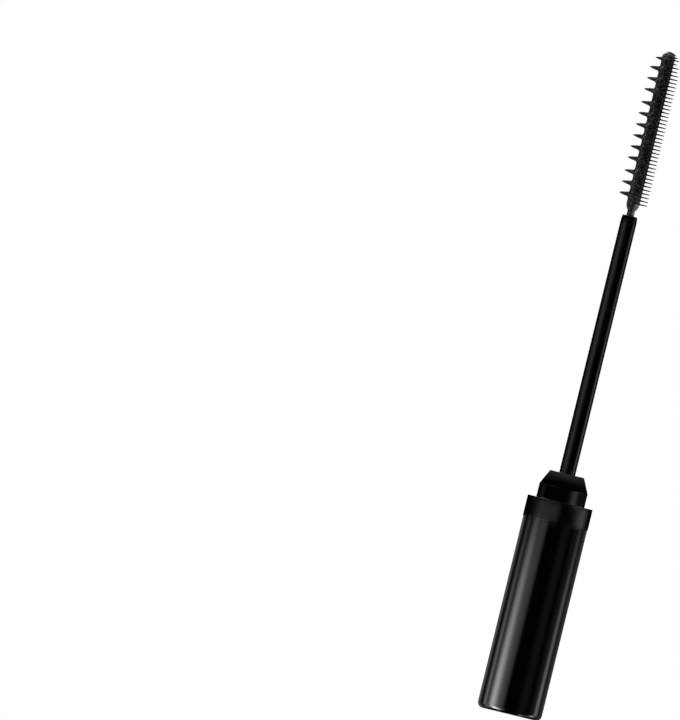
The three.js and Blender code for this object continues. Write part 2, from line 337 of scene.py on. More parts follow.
@dataclass(frozen=True)
class Finish:
    """A procedural finish: colour, gloss and relief vary over the surface.

    Attributes:
        name: the material's name.
        shade: the darker and the lighter of the two colours that are mixed.
        mottle: size of the colour patches, in metres.
        roughness: that of the shiniest and that of the dullest patches.
        smudge: size of the gloss patches, in metres.
        relief: size and height of the fine relief, in metres.
        grain: how the relief runs.
        polished: share of the roughness that is left where the surface's attribute
            "matt" is 0, or 1 for the same roughness all over.
    """

    name: str
    shade: tuple[float, float]
    mottle: float
    roughness: tuple[float, float]
    smudge: float
    relief: tuple[float, float]
    grain: Grain = Grain.EVEN
    polished: float = 1.0

    def material(self) -> bpy.types.Material:
        """Builds the finish's node tree."""
        material = bpy.data.materials.new(self.name)
        graph = Graph(material)
        shader = graph.nodes["Principled BSDF"]
        place = graph.add("ShaderNodeTexCoord").outputs["Object"]
        graph.link(self._colour(graph, place), shader.inputs["Base Color"])
        graph.link(self._gloss(graph, place), shader.inputs["Roughness"])
        graph.link(self._relief(graph, place), shader.inputs["Normal"])
        return material

    def _colour(self, graph: Graph, place: Socket) -> Socket:
        """Mixes the dark and the light colour by patches of noise."""
        ramp = graph.add("ShaderNodeValToRGB")
        for element, stop, level in zip(ramp.color_ramp.elements, PATCH_SPAN, self.shade):
            element.position = stop
            element.color = (*(level * share for share in TINT), 1)
        graph.link(graph.noise(place, self.mottle, PATCH_DETAIL), ramp.inputs["Fac"])
        return ramp.outputs["Color"]

    def _gloss(self, graph: Graph, place: Socket) -> Socket:
        """Lets the roughness drift between its two limits."""
        ends = zip(("From Min", "From Max", "To Min", "To Max"), GLOSS_SPAN + self.roughness)
        spread = graph.add("ShaderNodeMapRange", dict(ends))
        graph.link(graph.noise(place, self.smudge, GLOSS_DETAIL), spread.inputs["Value"])
        if self.polished == 1:
            return spread.outputs["Result"]
        fade = graph.add("ShaderNodeMapRange", {"To Min": self.polished})
        graph.link(graph.attribute("matt"), fade.inputs["Value"])
        return graph.combined("MULTIPLY", spread.outputs["Result"], fade.outputs["Result"])

    def _relief(self, graph: Graph, place: Socket) -> Socket:
        """Raises a fine relief, stretched as the grain says."""
        size, height = self.relief
        stretch = graph.add("ShaderNodeMapping", {"Scale": self.grain.value})
        graph.link(place, stretch.inputs["Vector"])
        noise = graph.noise(stretch.outputs["Vector"], size, RELIEF_DETAIL)
        bump = graph.add("ShaderNodeBump", {"Strength": 1, "Distance": height})
        graph.link(noise, bump.inputs["Height"])
        return bump.outputs["Normal"]


class Graph:
    """A node tree with short ways to add nodes and links."""

    def __init__(self, owner: bpy.types.Material | bpy.types.World) -> None:
        """Turns a material's or a world's nodes on and holds its tree."""
        owner.use_nodes = True
        self.tree = owner.node_tree
        self.nodes = self.tree.nodes

    @staticmethod
    def fill(node: bpy.types.Node, values: Values) -> bpy.types.Node:
        """Gives some of a node's inputs their values."""
        for name, value in values.items():
            node.inputs[name].default_value = value
        return node

    def add(self, kind: str, values: Values | None = None) -> bpy.types.Node:
        """Adds a node of a kind, with values for some of its inputs."""
        return self.fill(self.nodes.new(kind), values or {})

    def link(self, source: Socket, target: Socket) -> None:
        """Joins an output to an input."""
        self.tree.links.new(source, target)

    def noise(self, place: Socket, size: float, detail: float) -> Socket:
        """Adds a noise texture and returns its value.

        Args:
            place: where the texture is read.
            size: size of its patches, in metres.
            detail: how many finer layers it has.

        Returns:
            The socket with the noise, from 0 to 1.
        """
        texture = self.add("ShaderNodeTexNoise", {"Scale": 1 / size, "Detail": detail})
        self.link(place, texture.inputs["Vector"])
        return texture.outputs["Fac"]

    def fed(self, node: bpy.types.Node, *sources: Socket) -> Socket:
        """Joins outputs to a node's first inputs, in order, and returns its own output."""
        for source, target in zip(sources, node.inputs):
            self.link(source, target)
        return node.outputs[0]

    def attribute(self, name: str) -> Socket:
        """Reads a number that is kept on the surface's points."""
        node = self.add("ShaderNodeAttribute")
        node.attribute_name = name
        return node.outputs["Fac"]

    def combined(self, operation: str, first: Socket, second: Socket) -> Socket:
        """Two values combined by an operation such as MULTIPLY or MAXIMUM."""
        node = self.add("ShaderNodeMath")
        node.operation = operation
        return self.fed(node, first, second)


BLACK_LACQUER = Finish(
    name="black_lacquer",
    shade=(0.0005, 0.001),
    mottle=6e-3,
    roughness=(0.03, 0.05),
    smudge=9e-3,
    relief=(1.6e-3, 8e-7),
)
TURNED_SATIN = Finish(
    name="turned_satin",
    shade=(0.0012, 0.002),
    mottle=1.2e-3,
    roughness=(0.035, 0.05),
    smudge=3e-3,
    relief=(6e-5, 4e-7),
    grain=Grain.TURNED,
)
MOULDED_SLEEVE = Finish(
    name="moulded_sleeve",
    shade=(0.012, 0.02),
    mottle=3e-3,
    roughness=(0.45, 0.6),
    smudge=4e-3,
    relief=(2e-4, 6e-6),
)
POLISHED_PLUG = Finish(
    name="polished_plug",
    shade=(0.0005, 0.001),
    mottle=3e-3,
    roughness=(0.015, 0.025),
    smudge=4e-3,
    relief=(4e-4, 1.5e-7),
)
DRAWN_ROD = Finish(
    name="drawn_rod",
    shade=(0.0005, 0.001),
    mottle=4e-3,
    roughness=(0.04, 0.07),
    smudge=6e-3,
    relief=(6e-4, 3e-7),
    grain=Grain.DRAWN,
)
# The brush's small, strongly contrasting colour patches are partly a random tone of the moulding
# and partly painted speckle: the light patches are painted highlights standing in for lit bristle
# tips, and the dark patches are painted shade standing in for the gaps between bristles.
SOFT_BRUSH = Finish(
    name="soft_brush",
    shade=(0.005, 0.047),
    mottle=5e-4,
    roughness=(0.15, 0.3),
    smudge=1e-3,
    relief=(2.6e-4, 1.4e-5),
    polished=0.35,
)


# Pieces


def dress(
    thing: bpy.types.Object, finish: Finish, replaced: tuple[str, ...] = ()
) -> bpy.types.Object:
    """Gives a piece its finish and its slot, and lets it ride in place of CAD nodes.

    Args:
        thing: the piece.
        finish: its finish.
        replaced: the CAD nodes that it stands for.

    Returns:
        The piece.
    """
    thing.data.materials.clear()
    thing.data.materials.append(finish.material())
    if "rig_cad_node" not in thing:
        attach(thing, BODY)
    if replaced:
        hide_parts(*replaced)
    LOG.info("%s: %d faces, %s", thing.name, len(thing.data.polygons), finish.name)
    return thing


@dataclass
class HandleShell:
    """The glossy cup that is held, closed and flat at the foot."""

    wall: float = 0.8e-3
    floor: float = 1.2e-3
    foot_corner: float = 1.1e-3
    inner_corner: float = 0.3e-3
    rim_edge: float = 0.06e-3

    def build(self) -> bpy.types.Object:
        """Turns the cup to the frame's diameter and length.

        Returns:
            The dressed piece.
        """
        low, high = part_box("handle_shell")
        radius, length = high.x, high.z
        bore = radius - self.wall
        corners = [
            (0, low.z, 0),
            (radius, low.z, self.foot_corner),
            (radius, length, self.rim_edge),
            (bore, length, self.rim_edge),
            (bore, self.floor, self.inner_corner),
            (0, self.floor, 0),
        ]
        thing = Surface.turned(rounded(corners), FINE_SIDES).to_object("glossy_handle")
        return dress(thing, BLACK_LACQUER, ("handle_shell",))


@dataclass
class CollarRing:
    """The satin band above the shell, with the skirt that is pushed into its mouth."""

    lower_edge: float = 0.02e-3
    upper_edge: float = 0.07e-3
    skirt_edge: float = 0.15e-3

    def build(self) -> bpy.types.Object:
        """Turns the band and its skirt.

        Returns:
            The dressed piece.
        """
        low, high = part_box("collar_ring")
        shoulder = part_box("handle_shell")[1].z
        radius = high.x
        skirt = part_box("stopper_plug")[1].x
        bore = skirt - SKIRT_WALL
        corners = [
            (bore, low.z, 0),
            (skirt, low.z, self.skirt_edge),
            (skirt, shoulder, 0),
            (radius, shoulder, self.lower_edge),
            (radius, high.z, self.upper_edge),
            (bore, high.z, self.upper_edge),
        ]
        outline = rounded(corners, ring=True)
        thing = Surface.turned(outline, FINE_SIDES, ring=True).to_object("satin_band")
        return dress(thing, TURNED_SATIN, ("collar_ring",))


@dataclass
class CoreSleeve:
    """The sleeve inside the shell, which stays as the frame has it."""

    def build(self, frame: dict) -> bpy.types.Object:
        """Gives the sleeve its finish.


        Returns:
            The dressed node.
        """
        return dress(frame["nodes"]["core_sleeve"], MOULDED_SLEEVE)


@dataclass
class StopperPlug:
    """The stopper: flange, straight barrel and drawn-in nose, hollow below with webs."""

    flange: float = 1.2e-3
    nose_height: float = 2.93e-3
    nose_chamfer: float = 1.425e-3
    wall: float = 0.9e-3
    roof: float = 1.3e-3
    boss_wall: float = 0.8e-3
    web: float = 0.8e-3
    edge: float = 0.12e-3

    def build(self) -> bpy.types.Object:
        """Turns the stopper and stands its cross of webs in the hollow.

        Returns:
            The dressed piece.
        """
        low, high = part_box("stopper_plug")
        flange = high.x
        radius = flange - SKIRT_WALL - FIT
        nose = radius - self.nose_chamfer
        shoulder = high.z - self.nose_height
        hole = ROD_RADIUS + FIT
        boss = hole + self.boss_wall
        inner = radius - self.wall
        head_top = low.z + HEAD_HEIGHT
        corners = [
            (inner, low.z, 0),
            (flange, low.z, self.edge),
            (flange, low.z + self.flange, self.edge),
            (radius, low.z + self.flange, 0),
            (radius, shoulder, self.edge),
            (nose, high.z, self.edge),
            (hole, high.z, self.edge / 2),
            (hole, head_top, 0),
            (boss, head_top, 0),
            (boss, high.z - self.roof, 0),
            (inner, shoulder, 0),
        ]
        body = rounded(corners, ring=True)
        half = self.web / 2
        webs = []
        for side in (-1, 1):
            reach = sorted((side * boss, side * inner))
            webs.append(Surface.block((reach[0], -half, head_top), (reach[1], half, shoulder)))
            webs.append(Surface.block((-half, reach[0], head_top), (half, reach[1], shoulder)))
        parts = [Surface.turned(body, FINE_SIDES, ring=True), *webs]
        thing = Surface.joined(parts).to_object("stopper")
        return dress(thing, POLISHED_PLUG, ("stopper_plug",))


@dataclass
class ApplicatorRod:
    """The rod: barbed shank, trapped head, slim stem and the bore for the brush."""

    tip_length: float = 1.6e-3
    tip_drop: float = 0.22e-3
    shank_radius: float = 1.1e-3
    shank_length: float = 10e-3
    shank_tip: float = 0.3e-3
    barb_height: float = 0.2e-3
    barb_length: float = 1.2e-3
    barb_pitch: float = 2.6e-3
    barb_count: int = 3
    lip_radius: float = 0.85e-3
    lip_depth: float = 1e-3
    bore_radius: float = 0.98e-3
    bore_depth: float = 8.1e-3
    edge: float = 0.1e-3
    tip_steps: int = 12

    def _barbs(self, head: float) -> list[tuple[float, float, float]]:
        """Sawteeth on the shank, sharp side up, below the head at a height."""
        corners = []
        for barb in range(self.barb_count):
            foot = head - self.shank_length + self.shank_tip + barb * self.barb_pitch
            top = foot + self.barb_length
            corners.append((self.shank_radius, foot, 0))
            corners.append((self.shank_radius + self.barb_height, top, 0))
            corners.append((self.shank_radius, top, 0))
        return corners

    def _tip(self, top: float) -> np.ndarray:
        """The rounded tip: a quarter ellipse from the stem's side to its end.

        Its points are (R - d + d cos a, T - l + l sin a), for the radius R, the drop d,
        the top T and the length l, with the angle a from nothing to a quarter turn.
        """
        angle = np.linspace(0, np.pi / 2, self.tip_steps)
        across = ROD_RADIUS - self.tip_drop + self.tip_drop * np.cos(angle)
        along = top - self.tip_length + self.tip_length * np.sin(angle)
        return np.stack([across, along], axis=1)

    def build(self) -> bpy.types.Object:
        """Turns the rod from its shank to its tip and down into the bore.

        Returns:
            The dressed piece.
        """
        low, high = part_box("applicator_rod")
        head = low.z + self.shank_length
        stem = [
            (0, low.z, 0),
            (self.shank_radius - self.shank_tip, low.z, 0),
            *self._barbs(head),
            (self.shank_radius, head, 0),
            (high.x, head, self.edge),
            (high.x, head + HEAD_HEIGHT, self.edge),
            (ROD_RADIUS, head + HEAD_HEIGHT, 0),
        ]
        bore = [
            (ROD_RADIUS - self.tip_drop, high.z, 0),
            (self.lip_radius, high.z, self.edge),
            (self.lip_radius, high.z - self.lip_depth, 0),
            (self.bore_radius, high.z - self.lip_depth, 0),
            (self.bore_radius, high.z - self.bore_depth, 0),
            (0, high.z - self.bore_depth, 0),
        ]
        outline = np.vstack([rounded(stem), self._tip(high.z), rounded(bore)[1:]])
        thing = Surface.turned(outline, ROD_SIDES).to_object("rod")
        return dress(thing, DRAWN_ROD, ("applicator_rod",))


@dataclass
class MouldedBrush:
    """The brush, one moulding: core, fine bristles on one side, long teeth on the other.

    The heights are counted from the rod's tip.
    """

    neck_radius: float = 0.75e-3
    neck_length: float = 1e-3
    flare_length: float = 1.46e-3
    core_radius: float = 1.285e-3
    root_length: float = 8e-3
    bead_height: float = 0.13e-3
    bead_length: float = 0.5e-3
    bead_pitch: float = 2.2e-3
    bead_count: int = 2
    first_row_gap: float = 0.09e-3
    row_pitch: float = 0.74e-3
    bristle_reach: float = 2.82e-3
    bristle_root: float = 0.178e-3
    bristle_tip: float = 0.114e-3
    bristle_flare: tuple[float, float] = (0.056e-3, 0.06)
    bristle_bluntness: int = 24
    bristle_stops: tuple[float, ...] = (0, 0.06, 0.16, 0.45, 0.85, 0.98, 1)
    bristle_depth: float = 0.2e-3
    bristle_sides: int = 6
    column_angle: float = math.radians(18)
    ring_counts: tuple[int, int] = (11, 10)
    top_shares: tuple[float, ...] = (0.75, 0.77, 0.4, 0.59)
    dome_shares: tuple[float, ...] = (0.35, 0.22, 0.15)
    dome_turn_shares: tuple[float, ...] = (0.16, 0.43, 0.62)
    dome_counts: tuple[int, ...] = (5, 5, 3)
    dome_angle: float = math.radians(24)
    tooth_reach: float = 3.17e-3
    tooth_body: float = 0.47e-3
    tooth_flare: tuple[float, float] = (0.25e-3, 0.07)
    tooth_foot_stops: tuple[float, float, int] = (0, 0.2, 8)
    tooth_body_stops: tuple[float, float, int] = (0.28, 0.9, 8)
    tooth_tip_stops: tuple[float, ...] = (0.95, 0.985, 1)
    tooth_depth: float = 0.25e-3
    tooth_sides: int = 24
    tooth_columns: tuple[float, ...] = (-110, 180, 110)
    tooth_groups: tuple[int, ...] = (3, 6, 4)
    tooth_row_step: int = 3
    tooth_first_row: int = 2
    top_tooth_share: float = 0.64
    top_tooth_drop: float = 0.2e-3
    top_tooth_width: float = 0.7
    core_sides: int = 96
    flare_steps: int = 16
    dome_steps: int = 24
    nodes: tuple[str, ...] = ("brush_comb", *(f"bristle_band_{band}" for band in (1, 2, 3, 4)))

    def __post_init__(self) -> None:
        """Takes the rod's tip and the brush's length from the frame."""
        self.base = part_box("applicator_rod")[1].z
        self.length = max(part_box(node)[1].z for node in self.nodes) - self.base
        self.dome_base = self.length - self.core_radius
        self.first_row = self.neck_length + self.flare_length + self.first_row_gap
        self.row_count = 1 + int((self.dome_base - self.first_row) / self.row_pitch)

    def _core(self) -> Surface:
        """Root, neck, flare, straight core and dome as one turned surface.

        The flare widens as 1 - (1 - t) squared along its length, and the dome is half
        a ball.
        """
        root = [(0, -self.root_length), (self.neck_radius, -self.root_length)]
        for bead in range(self.bead_count):
            foot = self.bead_length + bead * self.bead_pitch - self.root_length
            root.append((self.neck_radius, foot))
            root.append((self.neck_radius + self.bead_height, foot + self.bead_length / 2))
            root.append((self.neck_radius, foot + self.bead_length))
        along = np.linspace(0, 1, self.flare_steps)
        widening = 1 - (1 - along) ** 2
        across = self.neck_radius + (self.core_radius - self.neck_radius) * widening
        flare = np.stack([across, self.neck_length + self.flare_length * along], axis=1)
        angle = np.linspace(0, np.pi / 2, self.dome_steps)
        dome = self.core_radius * np.stack([np.cos(angle), np.sin(angle)], axis=1)
        dome += [0, self.dome_base]
        dome[-1, 0] = 0
        return Surface.turned(np.vstack([root, flare, dome]), self.core_sides)

    def _skin(self, across: np.ndarray, height: np.ndarray) -> np.ndarray:
        """Distance from the core's middle plane to its skin.

        It is the root of R squared less the squares of the distance across and of the
        height above the dome's base, so a root laid on it follows the core's curve.
        """
        above = np.maximum(height - self.dome_base, 0)
        return np.sqrt(np.maximum(self.core_radius**2 - across**2 - above**2, 0))

    def _spikes(
        self,
        taper: np.ndarray,
        sides: int,
        angles: np.ndarray,
        heights: np.ndarray,
        lengths: np.ndarray,
        widths: np.ndarray | float = 1.0,
    ) -> Surface:
        """Sets copies of a turned taper on the core.

        A point of the taper at the distance h from its root and (v, w) across lies at
        (skin(v) + h, v, w), is turned by the copy's angle about Z and lifted to its
        height. Below the skin h is a depth and isn't stretched with the length.

        Args:
            taper: rows of radius in metres and place along, 0 at the skin and 1 at the
                tip, or a depth in metres where it is negative.
            sides: faces round each copy.
            angles: each copy's angle from +X.
            heights: each copy's height.
            lengths: each copy's length past the skin.
            widths: each copy's share of the taper's radius, or one for all.

        Returns:
            One surface with every copy.
        """
        shape = Surface.turned(taper, sides, hold=False)
        width = np.broadcast_to(widths, len(angles))[:, None]
        across, up, along = shape.points.T
        across, up = across * width, up * width
        reach = np.where(along < 0, along, along * lengths[:, None])
        height = up + heights[:, None]
        out = self._skin(across, height) + reach
        cos, sin = np.cos(angles)[:, None], np.sin(angles)[:, None]
        points = np.stack([out * cos - across * sin, out * sin + across * cos, height], axis=2)
        return shape.repeated(points)

    @staticmethod
    def _taper(
        along: np.ndarray, body: np.ndarray, flare: tuple[float, float], depth: float
    ) -> np.ndarray:
        """A spike's outline, closed at its tip and led down to its root's depth.

        Args:
            along: places from 0 at the skin to 1 at the tip.
            body: the radius at each of them, without the flare.
            flare: the width w and the share s of the flare that is added, which dies
                away from the skin as w exp(-t / s).
            depth: how deep the root goes.

        Returns:
            Rows of radius and place along.
        """
        width, share = flare
        across = body + width * np.exp(-along / share)
        across[-1] = 0
        root = [[0, -depth], [across[0], -depth]]
        return np.vstack([root, np.stack([across, along], axis=1)])

    def _bristles(self) -> Surface:
        """The rings of fine bristles, wide and narrow ones in turn, and the dome's three.

        At the share t of its length a bristle's radius lies between its root's and its
        tip's, times the root of 1 - t to the bluntness.
        """
        rings = []
        straight = self.row_count - len(self.top_shares)
        for row in range(self.row_count):
            share = 1 if row < straight else self.top_shares[row - straight]
            height = self.first_row + row * self.row_pitch
            rings.append((self.ring_counts[row % 2], self.column_angle, height, share))
        for share, turn, count in zip(self.dome_shares, self.dome_turn_shares, self.dome_counts):
            height = self.dome_base + self.core_radius * math.sin(turn * math.pi / 2)
            rings.append((count, self.dome_angle, height, share))
        counts, steps, heights, shares = zip(*rings)
        angles = [(np.arange(n) - (n - 1) / 2) * step for n, step in zip(counts, steps)]
        along = np.array(self.bristle_stops)
        body = self.bristle_root + (self.bristle_tip - self.bristle_root) * along
        body *= np.sqrt(1 - along**self.bristle_bluntness)
        return self._spikes(
            self._taper(along, body, self.bristle_flare, self.bristle_depth),
            self.bristle_sides,
            np.concatenate(angles),
            np.repeat(heights, counts),
            np.repeat(shares, counts) * (self.bristle_reach - self.core_radius),
        )

    def _teeth(self) -> Surface:
        """The columns of long teeth: every third row, half a row on after each group.

        At the share t of its length a tooth's radius is its body's times the root of
        1 - t.
        """
        rows = []
        for group, count in enumerate(self.tooth_groups):
            for _ in range(count):
                rows.append(self.tooth_first_row + len(rows) * self.tooth_row_step + group / 2)
        column = self.first_row + np.array(rows) * self.row_pitch
        column[-1] -= self.top_tooth_drop
        lengths = np.full(len(column), self.tooth_reach - self.core_radius)
        widths = np.ones(len(column))
        lengths[-1] *= self.top_tooth_share
        widths[-1] *= self.top_tooth_width
        lower, upper = np.linspace(*self.tooth_foot_stops), np.linspace(*self.tooth_body_stops)
        along = np.concatenate([lower, upper, self.tooth_tip_stops])
        body = self.tooth_body * np.sqrt(1 - along)
        columns = len(self.tooth_columns)
        return self._spikes(
            self._taper(along, body, self.tooth_flare, self.tooth_depth),
            self.tooth_sides,
            np.repeat(np.radians(self.tooth_columns), len(column)),
            np.tile(column, columns),
            np.tile(lengths, columns),
            np.tile(widths, columns),
        )

    def build(self) -> bpy.types.Object:
        """Joins core, bristles and teeth to one moulding.

        Returns:
            The dressed piece.
        """
        whole = Surface.joined([self._core(), self._bristles(), self._teeth()])
        flare_end = self.neck_length + self.flare_length
        stops = [self.neck_length, flare_end, self.dome_base, self.length]
        matt = np.interp(whole.points[:, 2], stops, [0, 1, 1, 0])
        whole.points[:, 2] += self.base
        thing = whole.to_object("moulded_brush")
        keep(thing, "matt", matt)
        return dress(thing, SOFT_BRUSH, self.nodes)


# Studio


class Zone(Enum):
    """A stretch of the studio's wall or card that one part of the wand mirrors."""

    FOOT = "foot"
    HANDLE = "handle"
    BAND = "band"
    PLUG = "plug"
    ROD = "rod"
    FLARE = "flare"
    NECK = "neck"
    BRUSH = "brush"
    SIDE = "side"
    CROWN = "crown"


CARD_ZONES = (Zone.FLARE, Zone.NECK)


@dataclass(frozen=True)
class Strip:
    """A soft strip of light, upright on the studio's wall or outwards on its card.

    Attributes:
        zone: the stretch that it fills.
        azimuth: where its middle stands, in degrees from the camera's side, + to +X.
        left: half width at half strength on the side of lower azimuths, in degrees.
        right: the same on the other side.
        foot: strength at the zone's lower or inner end, or at the floor if that is higher.
        head: strength at its upper or outer end.
        flatness: 2 for a bell across its width, more for a flat middle.
    """

    zone: Zone
    azimuth: float
    left: float
    right: float
    foot: float
    head: float
    flatness: float = 2.0

    def glow(
        self, azimuth: np.ndarray, place: np.ndarray, span: tuple[float, float]
    ) -> np.ndarray:
        """The strip's light at places on the wall or the card.

        Across, it falls off as one half to the power of the distance in half widths,
        raised to the flatness. Lengthwise it runs evenly from foot to head.

        Args:
            azimuth: degrees from the camera's side.
            place: metres above the floor, or from the axis on the card.
            span: the zone's ends.

        Returns:
            The strength at each place.
        """
        low, high = span
        off = (azimuth - self.azimuth + 180) % 360 - 180
        widths = np.abs(off) / np.where(off < 0, self.left, self.right)
        start = max(low, 0) if high > 0 else low
        share = np.clip((place - start) / (high - start), 0, 1)
        level = self.foot + (self.head - self.foot) * share
        inside = (place >= low) & (place < high)
        return level * 0.5 ** (widths**self.flatness) * inside


@dataclass
class Studio:
    """A pale floor, white surroundings, a soft box, and a dark wall and card to mirror."""

    floor_half: float = 2.0
    floor_grey: float = 0.86
    floor_roughness: float = 0.9
    wall_radius: float = 0.15
    wall_low: float = -0.6
    wall_high: float = 0.45
    wall_columns: int = 360
    coarse_rows: int = 60
    fine_rows: int = 500
    upper_rows: int = 500
    light_low: float = -0.45
    spill: float = 0.06
    band_drop: float = 5e-4
    brush_light: float = 0.033
    side_span: tuple[float, float] = (0.18, 0.26)
    crown_span: tuple[float, float] = (0.26, 0.4)
    nose_ramp: tuple[float, float] = (0.455, 0.93)
    nose_glow: float = 0.47
    nose_spread: float = 117
    nose_flatness: float = 4
    card_radius: float = 0.04
    card_ring: float = 8e-3
    card_hole: float = 0.8e-3
    card_rise: float = 1e-4
    card_slope: float = 0.03
    card_rows: int = 80
    fill: float = 0.55
    key_power: float = 3.2
    key_size: float = 0.5
    key_place: tuple[float, float, float] = (-0.05, -0.27, 0.75)
    strips: tuple[Strip, ...] = (
        Strip(Zone.FOOT, -69, 13, 14, 9, 11),
        Strip(Zone.FOOT, 101, 9, 9, 2, 2),
        Strip(Zone.HANDLE, -66.5, 11.3, 13.5, 7.9, 1.2),
        Strip(Zone.HANDLE, -36, 10.8, 10.8, 0.85, 0.75, 3),
        Strip(Zone.HANDLE, -101.5, 7.5, 7.8, 1.8, 0.4),
        Strip(Zone.HANDLE, -147, 14, 16, 0.3, 0.3, 3),
        Strip(Zone.HANDLE, 43, 14, 14, 0.1, 0.1, 3),
        Strip(Zone.HANDLE, 82, 8, 8, 0.12, 0.1),
        Strip(Zone.HANDLE, 104.5, 8.2, 7, 1.85, 0.4),
        Strip(Zone.HANDLE, 142, 22, 22, 0.13, 0.13, 3),
        Strip(Zone.BAND, -58, 20, 16, 0.52, 0.52),
        Strip(Zone.BAND, -18, 24, 19, 0.4, 0.4, 3),
        Strip(Zone.BAND, 93, 21.5, 16, 0.88, 0.88),
        Strip(Zone.PLUG, 62, 16, 12, 0.7, 0.7),
        Strip(Zone.PLUG, 100, 30, 25, 0.07, 0.07),
        Strip(Zone.PLUG, -102, 10, 10, 0.12, 0.12),
        Strip(Zone.ROD, -54, 27, 24, 0.6, 0.58),
        Strip(Zone.ROD, 93, 15, 13, 0.9, 0.7),
        Strip(Zone.FLARE, 74, 42, 50, 1.7, 0.8, 4),
        Strip(Zone.FLARE, -90, 60, 60, 0.35, 0.35),
        Strip(Zone.NECK, 74, 42, 50, 3.8, 1.4, 4),
        Strip(Zone.NECK, -90, 60, 60, 0.35, 0.35),
        Strip(Zone.BRUSH, -54, 27, 24, 0.35, 0.03),
        Strip(Zone.BRUSH, 93, 15, 10, 0.4, 0.4),
        Strip(Zone.BRUSH, 180, 14, 14, 0.7, 0.7),
        Strip(Zone.SIDE, 128, 16, 28, 4, 4),
        Strip(Zone.SIDE, -148, 14, 14, 6, 6),
        Strip(Zone.CROWN, -135, 14, 14, 7, 7),
    )

    def _zones(self) -> dict[Zone, tuple[float, float]]:
        """Each zone's lower and upper end, from the pieces that mirror it."""
        nodes = ("handle_shell", "collar_ring", "stopper_plug", "applicator_rod")
        shell, collar, plug, rod = (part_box(node)[1].z for node in nodes)
        return {
            Zone.FOOT: (self.light_low, -self.spill),
            Zone.HANDLE: (self.light_low, shell),
            Zone.BAND: (shell, collar - self.band_drop),
            Zone.PLUG: (collar - self.band_drop, plug),
            Zone.ROD: (plug, rod),
            Zone.FLARE: (self.card_hole, self.card_ring),
            Zone.NECK: (self.card_ring, self.card_radius),
            Zone.BRUSH: (rod, rod + self.brush_light),
            Zone.SIDE: self.side_span,
            Zone.CROWN: self.crown_span,
        }

    def _mirrored(self, share: float) -> tuple[np.ndarray, np.ndarray]:
        """The curve on the wall that a ring round the stopper's nose mirrors.

        The nose is a cone. Where its surface is turned by a from the camera's side and
        tilted up by e, a level view leaves it along (cos e squared times sin 2a,
        2 times cos e squared times cos a squared - 1, sin 2e times cos a) in the
        directions right, towards the camera and up. The curve is high in front and low
        behind.

        Args:
            share: the ring's place from the nose's foot to its top.

        Returns:
            Azimuths in degrees from the camera's side, from left to right, and heights.
        """
        plug = StopperPlug()
        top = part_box("stopper_plug")[1]
        tilt = math.atan2(plug.nose_chamfer, plug.nose_height)
        radius = top.x - SKIRT_WALL - FIT - plug.nose_chamfer * share
        turn = np.linspace(-np.pi / 2, np.pi / 2, self.wall_columns)
        start = radius * np.stack([np.sin(turn), np.cos(turn)])
        flat = math.cos(tilt) ** 2
        way = np.stack([flat * np.sin(2 * turn), 2 * flat * np.cos(turn) ** 2 - 1])
        level = np.hypot(*way)
        way = way / level
        ahead = (start * way).sum(axis=0)
        distance = np.sqrt(self.wall_radius**2 - radius**2 + ahead**2) - ahead
        right, front = start + way * distance
        climb = distance * math.sin(2 * tilt) * np.cos(turn) / level
        height = top.z - plug.nose_height * (1 - share) + climb
        return np.degrees(np.unwrap(np.arctan2(right, front))), height

    def _nose_glow(self, azimuth: np.ndarray, height: np.ndarray) -> np.ndarray:
        """The glow that the upper part of the stopper's nose mirrors.

        It grows evenly between the curves of two rings round the nose, and falls off to
        the sides as one half to the power of the azimuth in half widths, raised to the
        nose's flatness.

        Args:
            azimuth: degrees from the camera's side.
            height: metres above the floor.

        Returns:
            The strength at each place.
        """
        lower, upper = (np.interp(azimuth, *self._mirrored(share)) for share in self.nose_ramp)
        rise = np.clip((height - lower) / (upper - lower), 0, 1)
        off = np.abs(azimuth / self.nose_spread)
        return self.nose_glow * rise * 0.5 ** (off**self.nose_flatness)

    def _floor(self) -> None:
        """A pale square under the foot."""
        corners = self.floor_half * np.array([[-1, -1, 0], [1, -1, 0], [1, 1, 0], [-1, 1, 0]])
        plane = Surface(corners, np.array([[0, 1, 2, 3]]), NO_TRIANGLES).to_object("floor")
        paint = bpy.data.materials.new("pale_floor")
        graph = Graph(paint)
        colour = (*[self.floor_grey] * 3, 1)
        values = {"Base Color": colour, "Roughness": self.floor_roughness, "Specular IOR Level": 0}
        graph.fill(graph.nodes["Principled BSDF"], values)
        plane.data.materials.append(paint)
        plane.visible_glossy = False
        plane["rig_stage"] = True

    def _wall(self) -> None:
        """The upright dark wall that the glossy pieces reflect, with its strips of light.

        It is closed below, and its rows lie closest where the wand's edges are mirrored.
        """
        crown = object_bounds()[1].z
        rows = [
            np.linspace(self.wall_low, 0, self.coarse_rows, endpoint=False),
            np.linspace(0, crown, self.fine_rows, endpoint=False),
            np.linspace(crown, self.wall_high, self.upper_rows),
        ]
        azimuth, height = np.meshgrid(self._azimuths(), np.concatenate(rows))
        glow = self._lit(azimuth, height, tuple(zone for zone in Zone if zone not in CARD_ZONES))
        glow = np.maximum(glow, self._nose_glow(azimuth, height))
        surface = self._around(azimuth, self.wall_radius, height)
        here = np.arange(self.wall_columns)
        pole = np.full(self.wall_columns, len(surface.points))
        surface.triangles = np.stack([pole, here, np.roll(here, -1)], axis=1)
        surface.points = np.vstack([surface.points, [0, 0, self.wall_low]])
        self._shining(surface.to_object("studio_wall"), np.append(glow.ravel(), 0))

    def _card(self) -> None:
        """A flat funnel below the brush, which keeps the lower lights off it.

        It has strips of its own, and is clear for looks from below.
        """
        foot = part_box("applicator_rod")[1].z + self.card_rise
        reaches = np.linspace(self.card_hole, self.card_radius, self.card_rows)
        azimuth, reach = np.meshgrid(self._azimuths(), reaches)
        height = foot + (reach - self.card_hole) * self.card_slope
        card = self._around(azimuth, reach, height).to_object("brush_card")
        self._shining(card, self._lit(azimuth, reach, CARD_ZONES).ravel(), one_sided=True)

